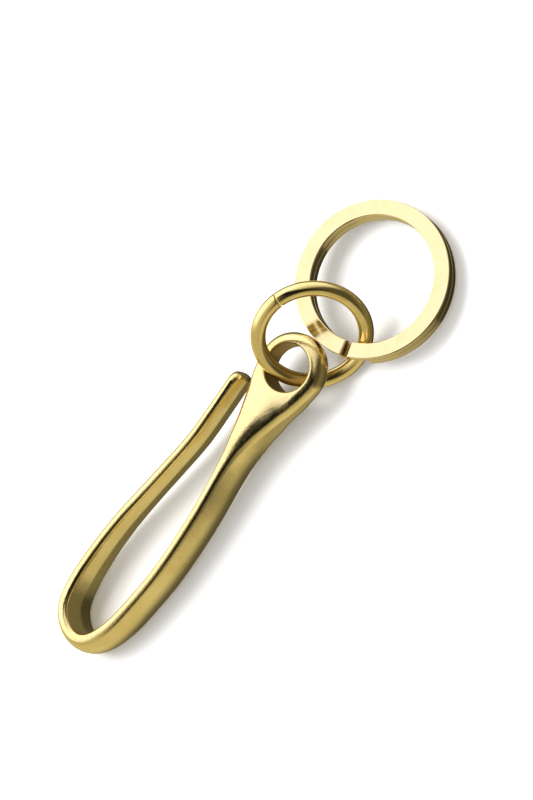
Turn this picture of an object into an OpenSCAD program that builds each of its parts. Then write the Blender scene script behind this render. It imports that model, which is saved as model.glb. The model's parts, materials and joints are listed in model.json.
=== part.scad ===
// Brass belt-hook key holder: a hook that slips over a belt, a jump ring through its eye and a
// flat split key ring. It lies on its side on z = 0, with the chain running along +X.

/* [Belt hook] */
// Height of the strap along the shank
strap_height = 9.4; // [8.8:0.1:9.8]
// Height of the strap at the tip of the tongue
tongue_height = 6.8; // [6:0.1:8]
// Thickness of the strap at its top and bottom edges
strap_edge = 2.2; // [1.8:0.1:2.6]
// How far the outer face of the bend bulges past its edges
bend_crown = 1.4; // [0.6:0.1:1.6]
// How far the outer face of the shank and tongue bulges past their edges
limb_crown = 0.8; // [0.4:0.1:1]
// Height that the eye end is lifted by the jump ring under it
eye_lift = 2; // [1.9:0.05:2.3]

/* [Eye] */
// Outer radius of the eye
eye_radius = 6.8; // [6.6:0.05:6.9]
// Radius of the hole through the eye
hole_radius = 4.5; // [4.4:0.05:4.6]
// Height of the eye's rim
eye_height = 4.9; // [4.6:0.1:5]
// Radial size of the bevel round both mouths of the hole
hole_bevel = 0.4; // [0.3:0.05:0.5]

/* [Jump ring] */
// Radius of the wire's centre line
jump_radius = 9.8; // [9.7:0.05:9.9]
// Radius of the round wire
jump_wire = 1.4; // [1.3:0.05:1.4]
// Width of the butt cut where the ring closes
jump_cut = 0.15; // [0.1:0.05:0.3]

/* [Split ring] */
// Outer radius of the key ring
ring_outer = 15; // [14.8:0.1:15.2]
// Inner radius of the key ring
ring_inner = 12; // [11.9:0.1:12.2]
// Thickness of one turn of the flat wire
turn_thickness = 1.65; // [1.5:0.05:1.65]
// Gap left between the two turns
turn_gap = 0.08; // [0.05:0.01:0.1]
// Bevel on the corners of the flat wire
wire_bevel = 0.2; // [0.1:0.05:0.3]

/* [Hidden] */
hook_brass = [0.80, 0.68, 0.38];
ring_brass = [0.88, 0.77, 0.42];

// The strap's centre line from the tip of the tongue, round the bend, to the middle of the eye.
// Each row is x, y, edge thickness, height, outward bulge, and how square the section is.
tip_crown = limb_crown - 0.2;
strap_rows = [
    [-6.2, 7.6, strap_edge - 0.2, tongue_height, tip_crown, 9],
    [-14, 7.7, strap_edge - 0.2, tongue_height, tip_crown, 9],
    [-21, 8, strap_edge - 0.2, tongue_height, tip_crown, 9],
    [-28, 9.05, strap_edge - 0.15, tongue_height, tip_crown, 9],
    [-35, 10.25, strap_edge - 0.1, tongue_height + 0.1, limb_crown, 9],
    [-42, 11.3, strap_edge - 0.1, tongue_height + 0.7, limb_crown, 9],
    [-49, 11.75, strap_edge - 0.1, strap_height - 1.3, limb_crown + 0.2, 9],
    [-55.5, 11.6, strap_edge, strap_height - 0.6, bend_crown - 0.2, 9],
    [-60.3, 10.5, strap_edge, strap_height - 0.2, bend_crown, 9],
    [-63, 7.8, strap_edge, strap_height, bend_crown, 9],
    [-63.6, 4.8, strap_edge, strap_height, bend_crown, 9],
    [-61.8, 2.3, strap_edge, strap_height, bend_crown, 9],
    [-57.5, 0.4, strap_edge, strap_height, bend_crown - 0.3, 9],
    [-51.5, -0.75, strap_edge, strap_height, limb_crown + 0.1, 9],
    [-45, -1.55, strap_edge, strap_height, limb_crown, 9],
    [-38, -1.75, strap_edge, strap_height, limb_crown, 9],
    [-31, -1.6, strap_edge, strap_height, limb_crown, 9],
    [-24, -1.05, strap_edge + 0.1, strap_height, limb_crown, 8],
    [-20, -0.75, strap_edge + 0.6, strap_height - 0.2, limb_crown, 7],
    [-17, -0.6, 4, strap_height - 0.4, limb_crown - 0.3, 6],
    [-14, -0.5, 5.6, strap_height - 0.9, 0.2, 5],
    [-11, -0.4, 7.5, strap_height - 1.8, 0, 4.5],
    [-8, -0.2, 9.6, eye_height + 1.6, 0, 4],
    [-5, -0.1, 11.6, eye_height + 0.7, 0, 4],
    [-2.5, 0, 12.9, eye_height + 0.2, 0, 4],
    [0, 0, 2 * eye_radius, eye_height, 0, 4]];
tip_round = 2.2;                 // length over which the tip closes
rim_round = 2;                   // width of the rounding round the eye's outer edge
section_points = 24;             // points round each section, a multiple of 8
corner_bunching = 7;             // degrees by which those points crowd towards the corners
steps_per_row = 3;               // sections between two rows of the strap
eye_angles = [10:10:80];         // where sections cross the rounded end of the eye
mouth_reach = 1;                 // how far the hole's tool runs past the eye's faces

// Attitude of the hook: its loop end touches the floor and its eye end is lifted
loop_reach = 65;
pitch = asin(eye_lift / loop_reach);
eye_at = [0, 0, eye_lift + strap_height / 2 * cos(pitch)];

// Where the two rings lie, from the middle of the eye: middle, tilt and direction of that tilt
jump_at = eye_at + [7.61, -0.83, 2.9];
jump_tilt = 51.7;
jump_heading = -110.8;
jump_cut_at = 179;               // where the cut is, round the ring
split_at = eye_at + [21.65, -2.35, -2.5];
split_tilt = 7;
split_heading = -13.6;
split_gap_at = -149.4;           // where the upper turn ends and the lower one starts to climb
climb_angle = 10.6;              // angle over which the wire climbs one turn
lower_end_at = -126.4;           // where the lower turn ends
climb_steps = 10;
seam = 0.02;                     // how far the climbing stretch sinks into the two turns

// Value at t of the Catmull-Rom curve through rows i and i + 1
function curve_part(a, b, c, d, t) =
    0.5 * (2 * b + (c - a) * t + (2 * a - 5 * b + 4 * c - d) * t * t
    + (3 * b - a - 3 * c + d) * t * t * t);
function clamp_row(i) = strap_rows[max(0, min(len(strap_rows) - 1, i))];
function strap_at(u) =
    let (i = min(floor(u), len(strap_rows) - 2))
    curve_part(clamp_row(i - 1), clamp_row(i), clamp_row(i + 1), clamp_row(i + 2), u - i);

// Point of a unit square with rounded corners, in direction a; a larger p is squarer
function rounded(a, p) = pow(pow(abs(cos(a)), p) + pow(abs(sin(a)), p), -1 / p) * [cos(a), sin(a)];

// One section at a row of values, turned by heading; shrink scales the section towards its middle
function section(row, heading, shrink = 1) = [
    for (k = [0:section_points - 1])
        let (t = 360 * k / section_points,
             q = rounded(t + corner_bunching * sin(4 * t), row[5]),
             bulge = q[0] > 0 ? row[4] * (1 - q[1] * q[1]) : 0,
             side = shrink * (q[0] * row[2] / 2 + bulge))
        [row[0] + side * sin(heading), row[1] - side * cos(heading), shrink * q[1] * row[3] / 2]];
function strap_section(u, shrink = 1) =
    let (ahead = strap_at(u + 0.01), behind = strap_at(max(u - 0.01, 0)))
    section(strap_at(u), atan2(ahead[1] - behind[1], ahead[0] - behind[0]), shrink);
function tip_shrink(part) = sqrt(1 - (1 - part) * (1 - part));

first_row_length = norm([strap_rows[1][0] - strap_rows[0][0], strap_rows[1][1] - strap_rows[0][1]]);
tip_parts = [0.03, 0.15, 0.35, 0.65, 1];
hook_sections = concat(
    [for (part = tip_parts) strap_section(part * tip_round / first_row_length, tip_shrink(part))],
    [for (k = [2:steps_per_row * (len(strap_rows) - 1)]) strap_section(k / steps_per_row)],
    [for (a = eye_angles)
        let (x = eye_radius * sin(a), over = max(0, x - eye_radius + rim_round) / rim_round)
        section([x, 0, 2 * eye_radius * cos(a), eye_height * sqrt(1 - over * over), 0,
                 4 - 1.5 * over], 0)]);

// The whole chain is shifted so that the origin is under the middle of its plan
hook_points = [for (s = hook_sections) each s];
chain_left = min([for (p = hook_points) p[0]]) * cos(pitch);
chain_right = split_at[0] + ring_outer;
chain_far = max([for (p = hook_points) p[1]]);
chain_near = split_at[1] - ring_outer;
chain_middle = [(chain_left + chain_right) / 2, (chain_near + chain_far) / 2, 0];

// Closed solid through a list of sections with the same number of points
module loft(sections) {
    n = len(sections[0]);
    last = len(sections) - 1;
    points = [for (s = sections) each s];
    walls = [
        for (i = [0:last - 1], k = [0:n - 1])
            let (a = i * n + k, b = i * n + (k + 1) % n)
            each [[a, b, b + n], [a, b + n, a + n]]];
    caps = [[for (k = [n - 1:-1:0]) k], [for (k = [0:n - 1]) last * n + k]];
    polyhedron(points, concat(walls, caps), convexity = 6);
}

// Tilts a ring that lies flat so that it leans by tilt towards heading, with its middle at a point
module leaning(at, tilt, heading) {
    translate(at - chain_middle) rotate([0, 0, heading]) rotate([0, tilt, 0]) children();
}

module hole_tool() {
    half = eye_height / 2;
    rotate_extrude($fn = 96)
        polygon([
            [0, -half - mouth_reach],
            [hole_radius + hole_bevel + mouth_reach, -half - mouth_reach],
            [hole_radius, -half + hole_bevel],
            [hole_radius, half - hole_bevel],
            [hole_radius + hole_bevel + mouth_reach, half + mouth_reach],
            [0, half + mouth_reach]]);
}

module belt_hook() {
    color(hook_brass)
        translate(eye_at - chain_middle)
            rotate([0, -pitch, 0])
                difference() {
                    loft(hook_sections);
                    hole_tool();
                }
}

module jump_ring() {
    cut_angle = jump_cut / jump_radius * 180 / PI;
    color(ring_brass)
        leaning(jump_at, jump_tilt, jump_heading)
            rotate([0, 0, jump_cut_at + cut_angle / 2])
                rotate_extrude(angle = 360 - cut_angle, $fn = 144)
                    translate([jump_radius, 0])
                        circle(r = jump_wire, $fn = 48);
}

// Outline of the flat wire's section, with its bottom on height z
function wire_outline(z) =
    let (b = wire_bevel, top = z + turn_thickness)
    [[ring_inner + b, z], [ring_outer - b, z], [ring_outer, z + b], [ring_outer, top - b],
     [ring_outer - b, top], [ring_inner + b, top], [ring_inner, top - b], [ring_inner, z + b]];

module turn(z, from, to) {
    rotate([0, 0, from])
        rotate_extrude(angle = to - from, $fn = 144)
            polygon(wire_outline(z));
}

// The short stretch of wire that climbs from the lower turn to the upper one
module climb(low, high) {
    lap = 1;
    loft([
        for (k = [-1:climb_steps + 1])
            let (part = max(0, min(1, k / climb_steps)),
                 a = split_gap_at + climb_angle * part + (k < 0 ? -lap : k > climb_steps ? lap : 0),
                 z = low + (high - low) * (1 - cos(180 * part)) / 2)
            [for (p = wire_outline(z))
                let (r = p[0] + (p[0] > (ring_inner + ring_outer) / 2 ? -seam : seam),
                     h = p[1] + (p[1] > z + turn_thickness / 2 ? -seam : seam))
                [r * cos(a), r * sin(a), h]]]);
}

module split_ring() {
    low = -turn_thickness - turn_gap / 2;
    high = turn_gap / 2;
    color(ring_brass)
        leaning(split_at, split_tilt, split_heading) {
            turn(low, lower_end_at, split_gap_at + 360);
            climb(low, high);
            turn(high, split_gap_at + climb_angle, split_gap_at + 360);
        }
}

belt_hook();
jump_ring();
split_ring();
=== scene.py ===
import json
import math
import bpy
import numpy as np
from mathutils import Matrix, Vector


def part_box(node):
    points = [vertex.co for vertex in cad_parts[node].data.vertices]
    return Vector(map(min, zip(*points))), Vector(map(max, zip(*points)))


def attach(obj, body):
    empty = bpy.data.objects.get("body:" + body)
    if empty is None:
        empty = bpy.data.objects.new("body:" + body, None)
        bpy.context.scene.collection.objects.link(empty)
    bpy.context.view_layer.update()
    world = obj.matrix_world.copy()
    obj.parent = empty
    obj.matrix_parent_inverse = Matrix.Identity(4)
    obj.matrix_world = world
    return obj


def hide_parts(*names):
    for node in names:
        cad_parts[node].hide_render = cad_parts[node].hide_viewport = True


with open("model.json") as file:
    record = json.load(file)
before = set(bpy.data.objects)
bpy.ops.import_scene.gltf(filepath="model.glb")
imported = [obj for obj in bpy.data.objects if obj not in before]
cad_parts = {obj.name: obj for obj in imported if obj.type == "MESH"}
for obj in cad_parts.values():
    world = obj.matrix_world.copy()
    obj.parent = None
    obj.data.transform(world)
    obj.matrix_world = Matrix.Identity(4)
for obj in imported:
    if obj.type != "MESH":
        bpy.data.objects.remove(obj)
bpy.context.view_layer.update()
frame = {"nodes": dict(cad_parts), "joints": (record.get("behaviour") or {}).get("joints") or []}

mm = 0.001
perMetre = 1 / mm
print("frame loaded:", ", ".join(sorted(frame["nodes"])))

joints = {joint["name"]: joint for joint in frame["joints"]}
eyeMiddle = np.array(joints["jump_ring_swivel"]["pos_m"])    # middle of the hook's eye
holeAxis = np.array(joints["jump_ring_swivel"]["axis"])      # along the hole through the eye


def boxMiddle(node):
    low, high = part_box(node)
    return (np.array(low) + np.array(high)) / 2


def placement(origin, xAxis, zAxis):
    # matrix that puts a piece's own frame at origin; its lengths are in metres
    z = np.array(zAxis) / np.linalg.norm(zAxis)
    x = np.array(xAxis) - np.dot(xAxis, z) * z
    x /= np.linalg.norm(x)
    matrix = Matrix.Identity(4)
    for column, axis in enumerate((x, np.cross(z, x), z, np.array(origin))):
        for row in range(3):
            matrix[row][column] = axis[row]
    return matrix


def leaning(tilt, heading):
    # x and z axes of a ring that lies flat and then leans by tilt towards heading, in degrees
    t, h = math.radians(tilt), math.radians(heading)
    xAxis = (math.cos(t) * math.cos(h), math.cos(t) * math.sin(h), -math.sin(t))
    zAxis = (math.sin(t) * math.cos(h), math.sin(t) * math.sin(h), math.cos(t))
    return xAxis, zAxis


cameraView = {
    "towardsCamera": (0.14448, -0.46985, 0.87084),
    "up": (0.81705, 0.55308, 0.16285),
    "eyeRightOfMiddle": 4.787,    # where the eye is in the picture, in mm from its middle
    "eyeAboveMiddle": 5.555,
    "pictureHeight": 145.4,       # mm across the picture's long side at the eye
    "distance": 900,              # mm from the camera to the eye
    "sensorWidth": 36,            # mm
    "nearest": 0.01,              # metres from the camera at which things start to show
}


def makeCamera(view):
    away = Vector(view["towardsCamera"]).normalized()
    right = Vector(view["up"]).cross(away).normalized()
    up = away.cross(right)
    target = Vector(eyeMiddle) - (right * view["eyeRightOfMiddle"] + up * view["eyeAboveMiddle"]) * mm
    data = bpy.data.cameras.new("camera")
    data.sensor_width = view["sensorWidth"]
    data.lens = data.sensor_width * view["distance"] / view["pictureHeight"]
    data.clip_start = view["nearest"]
    camera = bpy.data.objects.new("camera", data)
    bpy.context.scene.collection.objects.link(camera)
    camera.matrix_world = placement(target + away * view["distance"] * mm, right, away)
    bpy.context.scene.camera = camera


makeCamera(cameraView)
print("camera placed")


class Field:
    # wraps one output socket, so that shader maths reads as plain sums
    def __init__(self, tree, socket):
        self.tree = tree
        self.socket = socket

    def node(self, kind, settings=None, **inputs):
        made = self.tree.nodes.new(kind)
        for name, value in (settings or {}).items():
            setattr(made, name, value)
        for name, value in inputs.items():
            key = int(name[1:]) if name[0] == "i" and name[1:].isdigit() else name.replace("_", " ")
            if isinstance(value, Field):
                self.tree.links.new(value.socket, made.inputs[key])
            else:
                made.inputs[key].default_value = value
        return made

    def out(self, made, name=0):
        return Field(self.tree, made.outputs[name])

    def maths(self, operation, *values):
        made = self.node("ShaderNodeMath", {"operation": operation},
                         **{f"i{k}": value for k, value in enumerate(values)})
        return self.out(made)

    def __add__(self, other):
        return self.maths("ADD", self, other)

    def __radd__(self, other):
        return self.maths("ADD", other, self)

    def __sub__(self, other):
        return self.maths("SUBTRACT", self, other)

    def __rsub__(self, other):
        return self.maths("SUBTRACT", other, self)

    def __mul__(self, other):
        return self.maths("MULTIPLY", self, other)

    def __rmul__(self, other):
        return self.maths("MULTIPLY", other, self)

    def __truediv__(self, other):
        return self.maths("DIVIDE", self, other)

    def __rtruediv__(self, other):
        return self.maths("DIVIDE", other, self)

    def parts(self):
        made = self.node("ShaderNodeSeparateXYZ", Vector=self)
        return [self.out(made, axis) for axis in "XYZ"]

    def steps(self, low, high):
        # 0 below low, 1 above high and smooth in between
        made = self.node("ShaderNodeMapRange", {"interpolation_type": "SMOOTHSTEP"},
                         Value=self, From_Min=low, From_Max=high)
        return self.out(made)

    def mixed(self, first, second):
        # self is the share of second
        made = self.node("ShaderNodeMix", {"data_type": "RGBA"}, i0=self, i6=first, i7=second)
        return self.out(made, 2)


def noise(place, size, detailAndRoughness):
    # noise whose features lie about size millimetres apart
    detail, roughness = detailAndRoughness
    made = place.node("ShaderNodeTexNoise", {"noise_dimensions": "3D"}, Vector=place,
                      Scale=perMetre / size, Detail=detail, Roughness=roughness)
    return place.out(made, "Fac")


def roundTheRing(place, stretch):
    # places laid out so that noise runs in long lines round a ring
    x, y, z = place.parts()
    reach = place.maths("SQRT", x * x + y * y)
    made = place.node("ShaderNodeCombineXYZ", X=reach, Y=z, Z=place.maths("ARCTAN2", y, x) * stretch)
    return place.out(made)


def setSockets(shader, **values):
    for name, value in values.items():
        socket = shader.inputs[name.replace("_", " ")]
        if isinstance(value, Field):
            value.tree.links.new(value.socket, socket)
        else:
            socket.default_value = value


def newMaterial(name):
    material = bpy.data.materials.new(name)
    material.use_nodes = True
    tree = material.node_tree
    attribute = tree.nodes.new("ShaderNodeAttribute")
    attribute.attribute_name = "ownPlace"
    return material, tree.nodes["Principled BSDF"], Field(tree, attribute.outputs["Vector"])


def bump(height, depth, normal=None):
    # normal of a surface raised by depth millimetres where height is 1
    made = height.node("ShaderNodeBump", Height=height, Distance=depth * mm)
    if normal is not None:
        height.tree.links.new(normal.socket, made.inputs["Normal"])
    return height.out(made)


castBrass = {
    "colour": (0.93, 0.80, 0.48, 1),
    "deepColour": (0.86, 0.70, 0.35, 1),
    "deepShare": 0.6,
    # painted shade: this dark brown darkens the wall inside the hole, as if in shade
    "holeShadeColour": (0.36, 0.24, 0.09, 1),
    "holeShadeShare": 0.8,
    "holeEdge": (4.52, 4.74),     # mm from the hole's middle, where the shade painted on its wall ends
    "roughness": 0.13,
    "roughGrain": 0.10,
    "roughPatch": 0.05,
    "roughHole": 0.25,
    "grainSize": 0.30,            # mm between the tumbled specks
    "grainNoise": (3.0, 0.65),    # detail and roughness of their noise
    "grainDepth": 0.028,          # mm
    "grainEdge": (0.50, 0.72),
    "swellSize": 2.4,             # mm between the slow swells of the cast face
    "swellNoise": (2.0, 0.5),
    "swellDepth": 0.010,
    "patchSize": 6.0,             # mm between the patches of deeper colour
    "patchNoise": (3.0, 0.6),
    "patchEdge": (0.35, 0.7),
}


def makeCastBrass(look):
    material, shader, place = newMaterial("castBrass")
    grain = noise(place, look["grainSize"], look["grainNoise"])
    swell = noise(place, look["swellSize"], look["swellNoise"])
    patches = noise(place, look["patchSize"], look["patchNoise"]).steps(*look["patchEdge"])
    x, y = place.parts()[:2]
    fromHole = place.maths("SQRT", x * x + y * y) * perMetre
    # painted shade: inside the hole the colour is darkened towards the hole's shade colour, and the
    # roughness is raised
    inHole = 1 - fromHole.steps(*look["holeEdge"])
    colour = (patches * look["deepShare"]).mixed(look["colour"], look["deepColour"])
    colour = (inHole * look["holeShadeShare"]).mixed(colour, look["holeShadeColour"])
    roughness = look["roughness"] + grain.steps(*look["grainEdge"]) * look["roughGrain"]
    roughness = roughness + patches * look["roughPatch"] + inHole * look["roughHole"]
    normal = bump(grain, look["grainDepth"])
    normal = bump(swell, look["swellDepth"], normal)
    setSockets(shader, Base_Color=colour, Metallic=1.0, Roughness=roughness, Normal=normal)
    return material


drawnBrass = {
    "colour": (0.92, 0.78, 0.45, 1),
    "deepColour": (0.84, 0.68, 0.30, 1),
    "deepShare": 0.7,
    "roughness": 0.15,
    "roughHaze": 0.08,
    "roughLines": 0.05,
    "hazeSize": 3.5,              # mm between the patches of deeper colour
    "hazeNoise": (3.0, 0.6),
    "hazeEdge": (0.35, 0.75),
    "lineSize": 0.10,             # mm between the fine lines left by drawing
    "lineNoise": (2.0, 0.6),
    "lineStretch": 0.0006,        # metres of the lines' noise for each radian round the ring
    "lineDepth": 0.0012,
    "lineEdge": (0.5, 0.8),
    "speckSize": 0.22,
    "speckNoise": (3.0, 0.6),
    "speckDepth": 0.0012,
}


def makeDrawnBrass(look):
    material, shader, place = newMaterial("drawnBrass")
    specks = noise(place, look["speckSize"], look["speckNoise"])
    haze = noise(place, look["hazeSize"], look["hazeNoise"]).steps(*look["hazeEdge"])
    lines = noise(roundTheRing(place, look["lineStretch"]), look["lineSize"], look["lineNoise"])
    colour = (haze * look["deepShare"]).mixed(look["colour"], look["deepColour"])
    roughness = look["roughness"] + haze * look["roughHaze"]
    roughness = roughness + lines.steps(*look["lineEdge"]) * look["roughLines"]
    normal = bump(lines, look["lineDepth"])
    normal = bump(specks, look["speckDepth"], normal)
    setSockets(shader, Base_Color=colour, Metallic=1.0, Roughness=roughness, Normal=normal)
    return material


polishedBrass = {
    "colour": (0.88, 0.76, 0.51, 1),
    "deepColour": (0.85, 0.71, 0.39, 1),
    "deepShare": 0.5,
    "cutShadeColour": (0.30, 0.19, 0.07, 1),    # painted shade on the wire's two cut ends
    "cutShadeShare": 0.8,
    "roughness": 0.10,
    "roughHaze": 0.05,
    "roughLines": 0.05,
    "roughCut": 0.35,
    "hazeSize": 3.0,
    "hazeNoise": (3.0, 0.6),
    "hazeEdge": (0.4, 0.78),
    "lineSize": 0.12,             # mm between the fine lines left by rolling
    "lineNoise": (2.0, 0.6),
    "lineStretch": 0.0009,
    "lineDepth": 0.0007,
    "lineEdge": (0.55, 0.85),
    "swellSize": 3.5,
    "swellNoise": (1.0, 0.5),
    "swellDepth": 0.004,
}


def makePolishedBrass(look):
    material, shader, place = newMaterial("polishedBrass")
    lines = noise(roundTheRing(place, look["lineStretch"]), look["lineSize"], look["lineNoise"])
    haze = noise(place, look["hazeSize"], look["hazeNoise"]).steps(*look["hazeEdge"])
    swell = noise(place, look["swellSize"], look["swellNoise"])
    cut = place.out(place.node("ShaderNodeAttribute", {"attribute_name": "cutEnd"}), "Fac")
    colour = (haze * look["deepShare"]).mixed(look["colour"], look["deepColour"])
    # painted shade: the wire's cut ends are darkened as if in shade, and made rougher
    colour = (cut * look["cutShadeShare"]).mixed(colour, look["cutShadeColour"])
    roughness = look["roughness"] + haze * look["roughHaze"] + cut * look["roughCut"]
    roughness = roughness + lines.steps(*look["lineEdge"]) * look["roughLines"]
    normal = bump(lines, look["lineDepth"])
    normal = bump(swell, look["swellDepth"], normal)
    setSockets(shader, Base_Color=colour, Metallic=1.0, Roughness=roughness, Normal=normal)
    return material


materials = {
    "hook_brass": makeCastBrass(castBrass),
    "jump_brass": makeDrawnBrass(drawnBrass),
    "ring_brass": makePolishedBrass(polishedBrass),
}
print("materials made:", ", ".join(sorted(materials)))


def addPiece(name, node, body, slot, points, faces, matrix, shades=None):
    # points are in the piece's own frame, in millimetres; ownPlace keeps them for the materials
    own = np.asarray(points, float) * mm
    mesh = bpy.data.meshes.new(name)
    mesh.from_pydata(own.tolist(), [], faces)
    mesh.transform(matrix)
    mesh.update()
    place = mesh.attributes.new("ownPlace", "FLOAT_VECTOR", "POINT")
    place.data.foreach_set("vector", own.astype(np.float32).ravel())
    for polygon in mesh.polygons:
        polygon.use_smooth = True
    for label, values in (shades or {}).items():
        attribute = mesh.attributes.new(label, "FLOAT", "POINT")
        attribute.data.foreach_set("value", np.asarray(values, np.float32))
    mesh.materials.append(materials[slot])
    piece = bpy.data.objects.new(name, mesh)
    bpy.context.scene.collection.objects.link(piece)
    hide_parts(node)
    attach(piece, body)
    print(f"{name}: {len(mesh.vertices)} points, {len(mesh.polygons)} faces")


# The hook is made as a field that is negative inside the brass, in millimetres from the eye's
# middle, with x along the shank and z along the hole.
hookShape = {
    # x, y, edge thickness, height at the middle, height at the edges, outward bulge, corner radius
    "rows": [
        (-7.2, 7.6, 2.0, 6.8, 6.8, 0.55, 0.95),
        (-14, 7.7, 2.0, 6.8, 6.8, 0.6, 0.85),
        (-21, 8.0, 2.0, 6.8, 6.8, 0.6, 0.75),
        (-28, 9.05, 2.05, 6.8, 6.8, 0.65, 0.75),
        (-35, 10.25, 2.1, 6.9, 6.9, 0.75, 0.75),
        (-42, 11.3, 2.1, 7.5, 7.5, 0.8, 0.75),
        (-49, 11.75, 2.1, 8.1, 8.1, 1.0, 0.75),
        (-55.5, 11.6, 2.15, 8.8, 8.8, 1.2, 0.75),
        (-60.3, 10.5, 2.2, 9.2, 9.2, 1.35, 0.75),
        (-63, 7.8, 2.2, 9.35, 9.35, 1.35, 0.75),
        (-63.6, 4.8, 2.2, 9.35, 9.35, 1.35, 0.75),
        (-61.8, 2.3, 2.2, 9.35, 9.35, 1.35, 0.75),
        (-57.5, 0.4, 2.2, 9.35, 9.35, 1.1, 0.75),
        (-51.5, -0.75, 2.2, 9.35, 9.35, 0.9, 0.75),
        (-45, -1.55, 2.2, 9.35, 9.35, 0.8, 0.75),
        (-38, -1.75, 2.2, 9.35, 9.35, 0.8, 0.75),
        (-31, -1.6, 2.2, 9.35, 9.35, 0.8, 0.75),
        (-24, -1.05, 2.3, 9.3, 9.25, 0.8, 0.75),
        (-20, -0.75, 2.8, 9.25, 8.9, 0.7, 0.8),
        (-17, -0.6, 3.8, 9.1, 8.1, 0.5, 0.9),
        (-14, -0.5, 5.5, 8.65, 6.9, 0.2, 1.1),
        (-11, -0.4, 7.5, 7.85, 6.0, 0, 1.3),
        (-8, -0.2, 9.6, 6.7, 5.35, 0, 1.6),
        (-5, -0.1, 11.6, 5.8, 5.3, 0, 1.8),
        (-2.5, 0, 12.9, 5.2, 4.95, 0, 1.9),
        (0, 0, 13.6, 4.9, 4.8, 0, 2.0)],
    "samplesPerRow": 24,
    "bendRow": 10,            # the row where the tongue's half of the bend meets the shank's
    "tipReach": 1.0,          # how far the tongue's end goes past its first row
    "tipRound": 2.4,          # radius of the edges of the tongue's end
    "innerRidge": 0.4,        # how far the inner sides slope back from the ridge along their middle
    "ridgeRound": 0.05,       # share of the half height over which the ridge is rounded
    "ridgeFades": (3.0, 4.5),    # thicknesses where the ridge starts to fade and where it is gone
    "holeRadius": 4.5,
    "holeLip": 0.4,           # radius of the rounded mouths of the hole
    "cell": 0.2,              # size of the mesh's quads
    "low": (-66.8, -7.2, -5.1),    # two corners of the block in which the field is sampled
    "high": (7.2, 14.2, 5.1),
}


def smoothCurve(rows, samples):
    # Catmull-Rom curve through the rows, with every column carried along
    rows = np.array(rows, float)
    padded = np.vstack([2 * rows[:1] - rows[1:2], rows, 2 * rows[-1:] - rows[-2:-1]])
    t = np.arange(samples)[:, None] / samples
    parts = []
    for a, b, c, d in zip(padded, padded[1:], padded[2:], padded[3:]):
        parts.append(0.5 * (2 * b + (c - a) * t + (2 * a - 5 * b + 4 * c - d) * t ** 2
                            + (3 * b - a - 3 * c + d) * t ** 3))
    return np.vstack(parts + [rows[-1:]])


def roundedMeet(first, second, radius):
    # field of the meeting of two solids, with its edge rounded to radius
    a, b = first + radius, second + radius
    return np.minimum(np.maximum(a, b), 0) + np.hypot(np.maximum(a, 0), np.maximum(b, 0)) - radius


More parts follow.
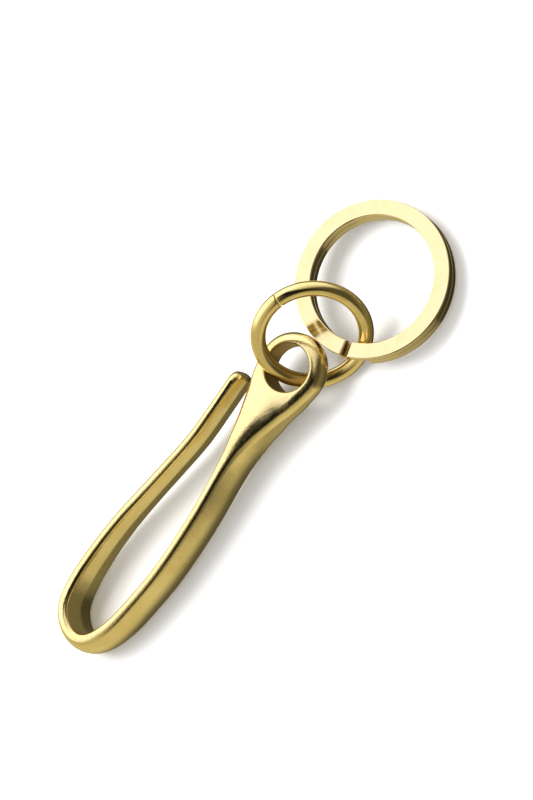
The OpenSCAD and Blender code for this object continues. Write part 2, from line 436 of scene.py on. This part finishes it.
class HookField:
    def __init__(self, shape):
        self.shape = shape
        self.curve = smoothCurve(shape["rows"], shape["samplesPerRow"])
        path = self.curve[:, :2]
        steps = np.gradient(path, axis=0)
        self.along = steps / np.linalg.norm(steps, axis=1)[:, None]
        self.length = np.concatenate([[0], np.cumsum(np.linalg.norm(np.diff(path, axis=0), axis=1))])
        cut = shape["bendRow"] * shape["samplesPerRow"]
        self.limbs = [(0, cut), (cut, len(path) - 1)]    # tongue and shank, joined in the bend

    def search(self, places, limb):
        # the sample of one limb's middle line that lies nearest to each point in plan
        first, last = self.limbs[limb]
        path = self.curve[first:last + 1, :2]
        found = np.empty(len(places), int)
        atOnce = 8000    # points measured together, to spare memory
        for start in range(0, len(places), atOnce):
            part = places[start:start + atOnce]
            gap = (part[:, :1] - path[:, 0]) ** 2 + (part[:, 1:] - path[:, 1]) ** 2
            found[start:start + atOnce] = gap.argmin(1) + first
        return found

    def plan(self, places, found=None):
        # for each limb: distance along it, offset to its outer side and its row of values there,
        # after the samples found and before the distance from the middle of the hole
        found = found or [self.search(places, limb) for limb in (0, 1)]
        limbs = []
        for limb, (first, last) in enumerate(self.limbs):
            at = found[limb]
            away = places - self.curve[at, :2]
            forward = (away * self.along[at]).sum(1)
            outward = away[:, 0] * self.along[at, 1] - away[:, 1] * self.along[at, 0]
            beyond = ((at == last) & (forward > 0)) | ((at == first) & (forward < 0))
            radial = np.hypot(away[:, 0], away[:, 1]) * np.where(outward < 0, -1, 1)
            distance = self.length[at] + np.where(beyond & (at == last), 0, forward)
            rows = [np.interp(distance, self.length, self.curve[:, k]) for k in range(2, 7)]
            limbs.append((distance, np.where(beyond & (at > 0), radial, outward), rows))
        return found, limbs, np.hypot(places[:, 0], places[:, 1])

    def limbValue(self, distance, outward, rows, z):
        # field of one limb, without the hole
        thickness, middle, edge, bulge, corner = rows
        fadeFrom, fadeTo = self.shape["ridgeFades"]
        ridge = np.clip((fadeTo - thickness) / (fadeTo - fadeFrom), 0, 1)
        width = thickness / 2
        share = np.clip(outward / width, -1, 1)
        top = (edge + (middle - edge) * (1 - share ** 2)) / 2
        level = np.clip(np.hypot(2 * z / middle, self.shape["ridgeRound"]), 0, 1)
        swell = bulge * (1 - level ** 2)
        hollow = self.shape["innerRidge"] * level * ridge
        side = np.where(outward > 0, outward - width - swell, hollow - outward - width)
        end = -distance - self.shape["tipReach"]
        topAndEnd = roundedMeet(np.abs(z) - top, end, self.shape["tipRound"])
        return roundedMeet(side, topAndEnd, corner)

    def value(self, plan, z):
        limbs, fromHole = plan[1:]
        body = np.minimum(*(self.limbValue(*limb, z) for limb in limbs))
        return roundedMeet(body, self.shape["holeRadius"] - fromHole, self.shape["holeLip"])

    def settle(self, points, rounds=3):
        # moves points onto the surface along the field's slope
        tiny = 0.01
        leastSlope = 0.25    # of the square of the slope, so that a flat spot moves no point far
        found = None
        for _ in range(rounds):
            z = points[:, 2]
            plan = self.plan(points[:, :2], found)
            found = plan[0]
            value = self.value(plan, z)
            slope = np.stack([
                self.value(self.plan(points[:, :2] + (tiny, 0), found), z) - value,
                self.value(self.plan(points[:, :2] + (0, tiny), found), z) - value,
                self.value(plan, z + tiny) - value], 1) / tiny
            size = np.maximum((slope ** 2).sum(1), leastSlope)
            points = points - (value / size)[:, None] * slope
        return points


def surfaceNet(field, low, high, cell):
    # quads round the zero surface of a field, with a point in each cell that it crosses
    axes = [np.arange(a, b + cell, cell) for a, b in zip(low, high)]
    across, deep = np.meshgrid(axes[0], axes[1], indexing="ij")
    plan = field.plan(np.stack([across.ravel(), deep.ravel()], 1))
    layers = [field.value(plan, np.full(across.size, z)) for z in axes[2]]
    grid = np.stack(layers, 1).reshape(len(axes[0]), len(axes[1]), len(axes[2]))
    inside = grid < 0
    size = np.array(grid.shape) - 1
    corners = [(i, j, k) for i in (0, 1) for j in (0, 1) for k in (0, 1)]

    def corner(values, offset):
        return values[tuple(slice(o, o + n) for o, n in zip(offset, size))]

    count = sum(corner(inside, c).astype(int) for c in corners)
    mixed = (count > 0) & (count < 8)
    where = np.argwhere(mixed)
    total, crossings = np.zeros((len(where), 3)), np.zeros(len(where))
    for first in corners:
        for axis in range(3):
            if first[axis]:
                continue
            second = tuple(1 if k == axis else first[k] for k in range(3))
            a, b = corner(grid, first)[mixed], corner(grid, second)[mixed]
            crosses = (a < 0) != (b < 0)
            share = np.where(crosses, a / np.where(crosses, a - b, 1), 0)
            spot = np.array(first) + share[:, None] * np.eye(3)[axis]
            total += np.where(crosses[:, None], spot, 0)
            crossings += crosses
    points = (where + total / crossings[:, None]) * cell + np.array([axis[0] for axis in axes])
    number = np.full(size, -1)
    number[mixed] = np.arange(len(where))
    faces = []
    for axis in range(3):
        u, v = (axis + 1) % 3, (axis + 2) % 3
        start = np.take(inside, range(size[axis]), axis)
        end = np.take(inside, range(1, size[axis] + 1), axis)
        for outward in (False, True):
            edges = np.argwhere((start != end) & (start == outward))
            edges = edges[(edges[:, u] > 0) & (edges[:, v] > 0)]
            edges = edges[(edges[:, u] < size[u]) & (edges[:, v] < size[v])]
            quad = []
            for du, dv in ((1, 1), (0, 1), (0, 0), (1, 0)):
                shifted = edges.copy()
                shifted[:, u] -= du
                shifted[:, v] -= dv
                quad.append(number[tuple(shifted.T)])
            quad = np.stack(quad if outward else quad[::-1], 1)
            faces.append(quad)
    return points, np.vstack(faces).tolist()


def makeHook(shape):
    field = HookField(shape)
    points, faces = surfaceNet(field, shape["low"], shape["high"], shape["cell"])
    points = field.settle(points)
    # the hook is tipped about the Y axis only
    alongShank = (math.sqrt(1 - holeAxis[0] ** 2), 0, -holeAxis[0])
    addPiece("beltHook", "belt_hook", "hook", "hook_brass", points, faces,
             placement(eyeMiddle, alongShank, holeAxis))


makeHook(hookShape)

jumpShape = {
    "radius": 9.8,            # of the wire's middle line, in mm
    "wire": 1.4,              # radius of the wire
    "tilt": 51.7,             # degrees
    "heading": -110.8,
    "cutAt": 179.0,           # degrees round the ring
    "cutOuter": 0.10,         # half width of the cut at its outer and inner sides
    "cutInner": 0.26,
    "edgeRound": 0.10,        # radius of the worn edges at the cut
    # the worn edge: how far back from the cut and how far in from the wire's side, by that radius
    "edgeProfile": [(0, 1), (0.1, 0.45), (0.4, 0.1), (1, 0)],
    "cutInset": 0.25,         # mm from the worn edge to the face that closes the cut's middle
    "aroundSteps": 320,
    "wireSteps": 56,
}


def tube(sections):
    # quads through a list of closed sections, with one face closing each end
    n = len(sections[0])
    points = [p for section in sections for p in section]
    faces = []
    for i in range(len(sections) - 1):
        for k in range(n):
            a, b = i * n + k, i * n + (k + 1) % n
            faces.append((a, b, b + n, a + n))
    faces.append(tuple(reversed(range(n))))
    faces.append(tuple(range(len(points) - n, len(points))))
    return points, faces


def makeJumpRing(shape):
    sections = []
    edge = shape["edgeRound"]
    ends = [(0, edge + shape["cutInset"])]
    ends += [(edge * back, edge * inset) for back, inset in shape["edgeProfile"]]
    spans = [(back, inset, 0.0) for back, inset in ends]
    spans += [(edge, 0, k / shape["aroundSteps"]) for k in range(1, shape["aroundSteps"])]
    spans += [(back, inset, 1.0) for back, inset in reversed(ends)]
    for back, inset, share in spans:
        section = []
        for k in range(shape["wireSteps"]):
            a = 2 * math.pi * k / shape["wireSteps"]
            reach = shape["radius"] + (shape["wire"] - inset) * math.cos(a)
            height = (shape["wire"] - inset) * math.sin(a)
            inward = (1 - math.cos(a)) / 2
            half = shape["cutOuter"] + (shape["cutInner"] - shape["cutOuter"]) * inward ** 2
            fromCut = (half + back) / reach
            angle = math.radians(shape["cutAt"]) + fromCut + share * (2 * math.pi - 2 * fromCut)
            section.append((reach * math.cos(angle), reach * math.sin(angle), height))
        sections.append(section)
    points, faces = tube(sections)
    xAxis, zAxis = leaning(shape["tilt"], shape["heading"])
    addPiece("jumpRing", "jump_ring", "jump_ring", "jump_brass", points, faces,
             placement(boxMiddle("jump_ring"), xAxis, zAxis))


makeJumpRing(jumpShape)

splitShape = {
    "outer": 15.0,
    "inner": 12.0,
    "turn": 1.65,             # thickness of one turn
    "gap": 0.08,              # between the turns
    "corner": 0.2,            # radius of the wire's edges
    "flatFrom": 0.05,         # how far past each edge the wire's side is flat for the shading
    "cornerSteps": 4,
    "fromEye": (21.65, -2.35, -2.5),    # the ring's middle, in mm from the middle of the eye
    "tilt": 7.0,              # degrees
    "heading": -13.6,
    "upperEnd": -149.4,       # degrees round the ring
    "climb": 5.0,             # degrees over which the wire climbs one turn
    "slant": 1.0,             # degrees by which its inner edge climbs later than its outer edge
    "lowerEnd": -131.0,
    "endRound": 0.17,
    # the rounded end: how far back from the cut and how far in from the sides, by that radius
    "endProfile": [(0, 1), (0.3, 0.3), (1, 0)],
    "stepAngle": 1.0,
    "climbStepAngle": 0.25,
    "fineMargin": 1.0,        # degrees of fine steps before and after the climb
}


def wireOutline(shape, inset):
    # rounded rectangle round the flat wire's section, as reach and height from the turn's bottom
    half = ((shape["outer"] - shape["inner"]) / 2, shape["turn"] / 2)
    middle = (shape["outer"] + shape["inner"]) / 2
    corner = shape["corner"]
    outline = []
    steps = shape["cornerSteps"]
    # two more points just past each rounded corner keep the shading of the flat sides flat
    around = [(0, -1)] + [(part, 0) for part in range(steps + 1)] + [(steps, 1)]
    for k, (sx, sz) in enumerate(((1, -1), (1, 1), (-1, 1), (-1, -1))):
        for part, past in around:
            a = math.radians(90 * (k - 1 + part / steps))
            reach = middle + sx * (half[0] - corner) + (corner - inset) * math.cos(a)
            height = half[1] + sz * (half[1] - corner) + (corner - inset) * math.sin(a)
            slide = past * shape["flatFrom"]
            outline.append((reach - slide * math.sin(a), height + slide * math.cos(a)))
    return outline


def makeSplitRing(shape):
    low = -shape["turn"] - shape["gap"] / 2
    rise = shape["turn"] + shape["gap"]
    start, stop = shape["lowerEnd"], shape["upperEnd"] + 720
    climbFrom = shape["upperEnd"] + 360
    middle = (shape["outer"] + shape["inner"]) / 2
    edge = shape["endRound"]
    perDegree = math.radians(1) * middle
    ends = [(edge * back, edge * inset) for back, inset in shape["endProfile"]]
    spans = [(start + back / perDegree, inset) for back, inset in ends]
    fineFrom = climbFrom - shape["fineMargin"]
    fineTo = climbFrom + shape["climb"] + shape["slant"] + shape["fineMargin"]
    angle = start + shape["stepAngle"]
    while angle < stop - shape["stepAngle"]:
        spans.append((angle, 0))
        angle += shape["climbStepAngle" if fineFrom < angle < fineTo else "stepAngle"]
    spans += [(stop - back / perDegree, inset) for back, inset in reversed(ends)]
    sections, cutEnd = [], []
    for angle, inset in spans:
        outline = wireOutline(shape, inset)
        section = []
        for reach, z in outline:
            lag = shape["slant"] * (shape["outer"] - reach) / (shape["outer"] - shape["inner"])
            share = min(1, max(0, (angle - climbFrom - lag) / shape["climb"]))
            height = low + rise * (1 - math.cos(math.pi * share)) / 2
            a = math.radians(angle)
            section.append((reach * math.cos(a), reach * math.sin(a), height + z))
        sections.append(section)
        cutEnd += [1.0 if inset == edge else 0.0] * len(outline)
    points, faces = tube(sections)
    xAxis, zAxis = leaning(shape["tilt"], shape["heading"])
    place = eyeMiddle + np.array(shape["fromEye"]) * mm
    addPiece("splitRing", "split_ring", "key_ring", "ring_brass", points, faces,
             placement(place, xAxis, zAxis), {"cutEnd": cutEnd})


makeSplitRing(splitShape)

floorLook = {
    "size": 3.0,                  # metres
    "colour": (0.93, 0.93, 0.935, 1),
    "roughness": 0.9,
    "specular": 0.1,
}


def makeFloor(look):
    material = bpy.data.materials.new("paleFloor")
    material.use_nodes = True
    shader = material.node_tree.nodes["Principled BSDF"]
    shader.inputs["Base Color"].default_value = look["colour"]
    shader.inputs["Roughness"].default_value = look["roughness"]
    shader.inputs["Specular IOR Level"].default_value = look["specular"]
    half = look["size"] / 2
    mesh = bpy.data.meshes.new("floor")
    mesh.from_pydata([(-half, -half, 0), (half, -half, 0), (half, half, 0), (-half, half, 0)],
                     [], [(0, 1, 2, 3)])
    mesh.materials.append(material)
    floor = bpy.data.objects.new("floor", mesh)
    bpy.context.scene.collection.objects.link(floor)
    floor.visible_glossy = False    # the room's lower half stands for the floor in the brass


makeFloor(floorLook)

studioLight = {
    "azimuth": 107.0,         # degrees round from +X, on the far side of the hook
    "elevation": 64.0,
    "distance": 0.8,          # metres, like the panel's width and height
    "width": 0.55,
    "height": 0.42,
    "fromPanel": 0.75,        # what the panel adds to the floor
    "roomForFloor": 1.0,      # what the room adds to plain surfaces
    "gamma": 0.87,            # below 1 it deepens the middle tones
}

# What polished brass sees of the room, laid out as a flat disc: directions as degrees from
# straight up, with the side towards +X to the right and the side towards +Y at the top.
roomLook = {
    "windowColour": (1.0, 0.985, 0.93, 1),
    "wallColour": (1.0, 0.91, 0.56, 1),
    "window": 0.93,           # strength of the bright right and top of the disc
    "windowTop": 0.5,         # what the top has over the right
    "wall": 0.62,             # strength of its left side
    "shade": 0.12,            # strength of its bottom
    "windowLeft": (4, 14),    # each pair is where one tone starts and where it is full
    "windowBottom": (-36, -4),
    "brighterFrom": (-10, 40),
    "topFrom": (12, 20),      # the window's upper part goes on to the left
    "topLeft": (-66, -44),
    "cornerFrom": (10, 24),   # and comes lower there
    "cornerBottom": (-8, 8),
    "wallFrom": (4, 32),
    "stripLeft": (-15, -4),   # a dark strip lies between the wall and the window
    "stripSlant": 0.8,        # how much the strip's left edge shifts for each degree downwards
    "stripBottom": (-60, -44),
    "stripShade": 0.93,
    "floorFrom": (84, 106),   # degrees from straight up where the window fades into the floor
    "floorEdge": (88, 93),
    "floorGlow": 0.10,        # what the floor has over the walls
    "underFrom": (136, 166),  # degrees from straight up where it darkens under the brass
    "underShade": 0.8,
}


def makePanel(look):
    azimuth, elevation = math.radians(look["azimuth"]), math.radians(look["elevation"])
    towards = Vector((math.cos(elevation) * math.cos(azimuth),
                      math.cos(elevation) * math.sin(azimuth), math.sin(elevation)))
    sideways = Vector((-math.sin(azimuth), math.cos(azimuth), 0))
    data = bpy.data.lights.new("softPanel", "AREA")
    data.shape = "RECTANGLE"
    data.size = look["width"]
    data.size_y = look["height"]
    # the power with which an area lamp lights a white floor by the stated amount
    data.energy = look["fromPanel"] * math.pi ** 2 * look["distance"] ** 2 / math.sin(elevation)
    panel = bpy.data.objects.new("softPanel", data)
    bpy.context.scene.collection.objects.link(panel)
    panel.matrix_world = placement(towards * look["distance"], sideways, towards)
    panel.visible_glossy = False


def makeRoom(look, forFloor):
    world = bpy.data.worlds.new("room")
    bpy.context.scene.world = world
    world.use_nodes = True
    tree = world.node_tree
    background = tree.nodes["Background"]
    direction = Field(tree, tree.nodes.new("ShaderNodeTexCoord").outputs["Generated"])
    x, y, z = direction.parts()
    fromTop = direction.maths("ARCCOSINE", z) * math.degrees(1)
    tiny = 1e-9    # keeps the disc's middle from dividing by zero
    flat = direction.maths("SQRT", x * x + y * y + tiny)
    right = x / flat * fromTop
    left = 0 - right
    up = y / flat * fromTop
    beside = right.steps(*look["windowLeft"])
    corner = left.steps(*look["cornerFrom"]) * up.steps(*look["cornerBottom"])
    above = direction.maths("MAXIMUM", up.steps(*look["topFrom"]), corner)
    window = direction.maths("MAXIMUM", beside * up.steps(*look["windowBottom"]),
                             above * right.steps(*look["topLeft"]))
    bright = look["window"] + up.steps(*look["brighterFrom"]) * look["windowTop"]
    window = window * (1 - fromTop.steps(*look["floorFrom"]))
    wall = look["shade"] + left.steps(*look["wallFrom"]) * (look["wall"] - look["shade"])
    wall = wall + fromTop.steps(*look["floorEdge"]) * look["floorGlow"]
    leftEdge = (right - up.maths("MINIMUM", up, 0) * look["stripSlant"]).steps(*look["stripLeft"])
    strip = (1 - beside) * (1 - above) * leftEdge * up.steps(*look["stripBottom"])
    seen = wall + window * (bright - wall)
    seen = seen * (1 - strip * look["stripShade"])
    seen = seen * (1 - fromTop.steps(*look["underFrom"]) * look["underShade"])
    # plain surfaces are lit by an even white room, and the brass mirrors the tones above
    diffuse = Field(tree, tree.nodes.new("ShaderNodeLightPath").outputs["Is Diffuse Ray"])
    colour = window.mixed(look["wallColour"], look["windowColour"])
    setSockets(background, Strength=seen + diffuse * (forFloor - seen),
               Color=diffuse.mixed(colour, (1, 1, 1, 1)))


makePanel(studioLight)
makeRoom(roomLook, studioLight["roomForFloor"])
bpy.context.scene.view_settings.view_transform = "Standard"
bpy.context.scene.view_settings.gamma = studioLight["gamma"]
print("floor and light placed")
